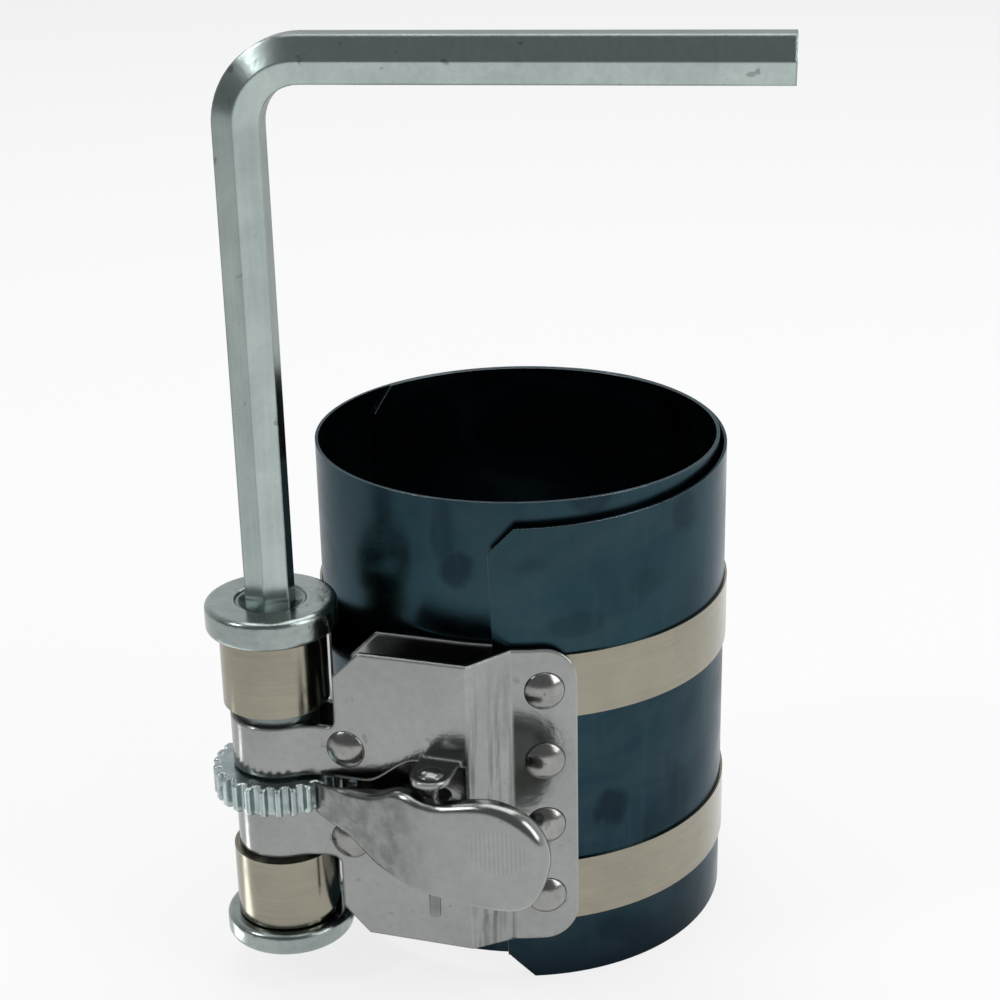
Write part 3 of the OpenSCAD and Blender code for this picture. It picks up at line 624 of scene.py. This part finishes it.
def curveThrough(points, steps):
    # Catmull-Rom curve: each span bends by the two points before and after it
    p = np.asarray(points, float)
    ends = np.vstack([p[:1], p, p[-1:]])
    a, b, c, d = (ends[k:k + len(p) - 1, None] for k in range(4))
    t = np.linspace(0, 1, steps, endpoint=False)[None, :, None]
    linear = (c - a) * t / 2
    square = (2 * a - 5 * b + 4 * c - d) * t ** 2 / 2
    cubic = (3 * b - a - 3 * c + d) * t ** 3 / 2
    return np.vstack([(b + linear + square + cubic).reshape(-1, 2), p[-1:]])


def gridFaces(rows, columns, first=0, closeRows=False):
    # quads between neighbouring rows, each row a closed ring of points
    r = np.arange(rows if closeRows else rows - 1)[:, None]
    c = np.arange(columns)[None, :]
    after, beside = (r + 1) % rows, (c + 1) % columns
    corners = [
        r * columns + c,
        r * columns + beside,
        after * columns + beside,
        after * columns + c,
    ]
    return first + np.stack([k.reshape(-1) for k in corners], 1)


def leverSheet(look):
    edge = curveThrough(look["leaf"], look["leafSteps"])
    leafEnd = len(edge) - 1
    nose = np.linspace(edge[-1], edge[0], look["noseSteps"])[1:-1]
    edge = np.vstack([edge, nose])  # closed over the straight nose
    count = len(edge)
    along = np.roll(edge, -1, 0) - np.roll(edge, 1, 0)
    across = np.stack([along[:, 1], -along[:, 0]], 1)
    inward = across / np.linalg.norm(along, axis=1, keepdims=True)
    plan = curveThrough(look["plan"], look["lineSteps"])
    spine = curveThrough(look["spine"], look["lineSteps"])
    reach = edge[:, 0] - edge[:, 0].min()
    # the point across the leaf: both halves have one thickness there, so they meet on the spine
    opposite = np.r_[np.arange(leafEnd, -1, -1), np.arange(count - 1, leafEnd, -1)]
    grown = np.clip((reach + reach[opposite]) / 2 / look["noseLength"], 0, 1)
    folded = np.clip((reach - look["rimFrom"]) / look["rimLength"], 0, 1) ** look["rimCurve"]
    sheet = look["noseTip"] + (look["sheet"] - look["noseTip"]) * grown
    rim = sheet + (look["rim"] - sheet) * folded
    onPad = np.clip((edge[:, 0] - look["padFrom"]) / look["padGrow"], 0, 1)
    bend = np.minimum(look["bend"] + look["padBend"] * onPad, look["bendMost"] * rim)
    onSpine = np.argmin(((edge[:, None] - spine[None]) ** 2).sum(2), 1)
    middle = spine[(onSpine + onSpine[opposite]) // 2]

    def placed(leafPoint, depth):
        # leaf coordinates and depth behind the front face, to the part's own frame
        x = leafPoint[..., 0] + look["pivot"][0]
        z = leafPoint[..., 1] + look["pivot"][1]
        front = np.interp(x, plan[:, 0], plan[:, 1])
        slope = np.interp(x, plan[:, 0], np.gradient(plan[:, 1], plan[:, 0]))
        lean = 1 / np.sqrt(1 + slope ** 2)
        cx, cz, rx, rz = look["dishPlace"]
        off = ((leafPoint[..., 0] - cx) / rx) ** 2 + ((leafPoint[..., 1] - cz) / rz) ** 2
        hollow = look["dish"] * np.clip(1 - off, 0, 1) ** 2
        return np.stack([x - slope * lean * depth, front + lean * depth + hollow, z], -1)

    def ring(inset, depth, share=0.0):
        spot = edge + inset[:, None] * inward
        return placed(spot + share * (middle - spot), depth)

    def side(shift):
        # one face of the sheet, from the rim's back edge over the bend to the spine
        start = shift * sheet
        r = bend - shift * np.minimum(sheet, look["bendSheet"] * bend)
        down = np.linspace(0, 1, look["wallRings"])
        curl = np.radians(np.linspace(0, 90, look["bendRings"]))[1:]
        inner = np.linspace(0, 1, look["faceRings"])[1:]
        walls = [ring(start, rim + (bend - rim) * k) for k in down]
        bends = [ring(start + r * (1 - np.cos(k)), start + r * (1 - np.sin(k))) for k in curl]
        face = [ring(start + r, start, k) for k in inner]
        return walls + bends + face

    rings = side(0.0)[::-1] + side(1.0)
    return np.vstack(rings), gridFaces(len(rings), count)


def leverCheek(look, low, first):
    # a flat lug round the pin: the ring between hole and outline, carried round four corners
    count, tiny = look["cheekSteps"], 1e-6
    turn = np.linspace(0, 2 * np.pi, count, endpoint=False)
    ray = np.stack([np.cos(turn), np.sin(turn)], 1)
    ahead = np.maximum(look["cheekSlope"] * np.maximum(-ray[:, 0], 0) - ray[:, 1], tiny)
    beside = np.maximum(np.abs(ray[:, 0]), tiny)
    straight = np.minimum(look["cheekRadius"] / beside, look["cheekFront"] / ahead)
    outline = np.where(ray[:, 1] > 0, look["cheekRadius"], straight)
    hole = np.full(count, look["hole"])
    high = low + look["sheet"]
    corners = [(hole, low), (outline, low), (outline, high), (hole, high)]
    rows = [np.column_stack([ray * r[:, None] + look["pin"], np.full(count, z)]) for r, z in corners]
    return np.vstack(rows), gridFaces(len(rows), count, first, closeRows=True)


def makeLever(look):
    points, faces = leverSheet(look)
    for low in look["cheekHeights"]:
        morePoints, moreFaces = leverCheek(look, low, len(points))
        points, faces = np.vstack([points, morePoints]), np.vstack([faces, moreFaces])
    mesh = bpy.data.meshes.new("pressedLever")
    mesh.from_pydata((points / 1000).tolist(), [], faces.tolist())
    form = bmesh.new()
    form.from_mesh(mesh)
    bmesh.ops.remove_doubles(form, verts=form.verts, dist=look["weld"])
    bmesh.ops.dissolve_degenerate(form, edges=form.edges, dist=look["sliver"])
    bmesh.ops.recalc_face_normals(form, faces=form.faces)
    form.to_mesh(mesh)
    form.free()
    mesh.shade_smooth()
    mesh.set_sharp_from_angle(angle=math.radians(look["sharpDeg"]))
    lever = bpy.data.objects.new("pressedLever", mesh)
    scene.collection.objects.link(lever)
    mesh.materials.append(made["leverPlate"])
    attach(lever, "lever")
    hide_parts("release_lever")
    print("lever pressed:", len(mesh.polygons), "faces")


makeLever(leverShape)


# floor: pale, and almost white to the camera with the soft shadow kept. In reflections it is
# dimmer to the left and in front, and has one bright strip. The room is pale behind the object
studio = {
    "floorSize": 6.0,  # metres
    "floorPaint": (0.8, 0.8, 0.8),
    "floorWhite": 0.8,  # share of plain white in what the camera sees of the floor
    "leftDim": (0.02, -0.28, 0.0, 0.30),  # from x, to x, how much darker
    "frontDim": (-0.10, -0.60, 0.0, 0.12),  # from y, to y, how much darker
    "glintX": (-0.13, -0.045, 0.003),  # bright strip: from, to, soft border
    "glintY": (-0.053, -0.042, 0.003),
    "glintGain": 4.0,
    "backdrop": (0.93, 0.93, 0.93),  # what the camera sees past the floor's edge
    "far": (0.78, 0.79, 0.80),  # pale wall behind the object
    "near": (0.17, 0.175, 0.18),  # dim room on the camera's side and overhead
    "behindBand": (-0.35, 0.55),  # direction's y, from near to far
    "overheadBand": (0.35, 0.9, 1.0, 0.35),  # direction's z, and the share of far that is left
    "aim": (0.0, 0.0, 0.05),  # where the lamps point
}


def makeFloor(look):
    half = look["floorSize"] / 2
    corners = [(-half, -half, 0), (half, -half, 0), (half, half, 0), (-half, half, 0)]
    mesh = bpy.data.meshes.new("floor")
    mesh.from_pydata(corners, [], [(0, 1, 2, 3)])
    floor = bpy.data.objects.new("floor", mesh)
    scene.collection.objects.link(floor)
    material = bpy.data.materials.new("paleFloor")
    material.use_nodes = True
    tree = material.node_tree
    tree.nodes.clear()
    path = put(tree, "ShaderNodeLightPath").outputs
    xyz = axes(tree, objectPlace(tree))
    left = remap(tree, xyz["X"], *look["leftDim"])
    front = remap(tree, xyz["Y"], *look["frontDim"])
    onGlint = times(tree, within(tree, xyz["X"], *look["glintX"]), within(tree, xyz["Y"], *look["glintY"]))
    glint = times(tree, onGlint, look["glintGain"])
    change = calc(tree, "SUBTRACT", glint, calc(tree, "ADD", left, front))
    level = calc(tree, "ADD", times(tree, change, path["Is Glossy Ray"]), 1.0)
    shown = path["Is Camera Ray"]
    for ray in ("Is Glossy Ray", "Is Transmission Ray"):
        shown = calc(tree, "MAXIMUM", shown, path[ray])
    paint = put(tree, "ShaderNodeBsdfDiffuse", {"Color": rgba(look["floorPaint"])})
    white = put(tree, "ShaderNodeEmission", {"Color": (1, 1, 1, 1), "Strength": level})
    share = times(tree, shown, look["floorWhite"])
    mixed = put(tree, "ShaderNodeMixShader", {0: share, 1: paint.outputs[0], 2: white.outputs[0]})
    put(tree, "ShaderNodeOutputMaterial", {"Surface": mixed.outputs[0]})
    mesh.materials.append(material)


def makeWorld(look):
    world = bpy.data.worlds.new("studio")
    scene.world = world
    world.use_nodes = True
    tree = world.node_tree
    tree.nodes.clear()
    way = axes(tree, put(tree, "ShaderNodeTexCoord").outputs["Generated"])
    behind = remap(tree, way["Y"], *look["behindBand"])
    overhead = remap(tree, way["Z"], *look["overheadBand"])
    room = blend(tree, times(tree, behind, overhead), look["near"], look["far"])
    seen = put(tree, "ShaderNodeLightPath").outputs["Is Camera Ray"]
    shown = blend(tree, seen, room, look["backdrop"])
    background = put(tree, "ShaderNodeBackground", {"Color": shown, "Strength": 1.0})
    put(tree, "ShaderNodeOutputWorld", {"Surface": background.outputs[0]})


lamps = {
    "key": {"place": (-0.60, -0.45, 0.75), "size": (0.16, 0.3), "power": 2.2},
    "fill": {"place": (0.80, -0.20, 0.50), "size": (0.4, 0.7), "power": 3.0},
    "top": {"place": (0.0, 0.25, 1.0), "size": (0.9, 0.9), "power": 6.5},
}


def makeLamp(name, look, target):
    light = bpy.data.lights.new(name, "AREA")
    light.shape, light.energy = "RECTANGLE", look["power"]
    light.size, light.size_y = look["size"]
    lamp = bpy.data.objects.new(name, light)
    aim = Vector(target) - Vector(look["place"])
    turn = aim.to_track_quat("-Z", "Y").to_matrix().to_4x4()
    lamp.matrix_world = Matrix.Translation(look["place"]) @ turn
    scene.collection.objects.link(lamp)


makeFloor(studio)
makeWorld(studio)
for name, look in lamps.items():
    makeLamp(name, look, studio["aim"])
print("studio lit")
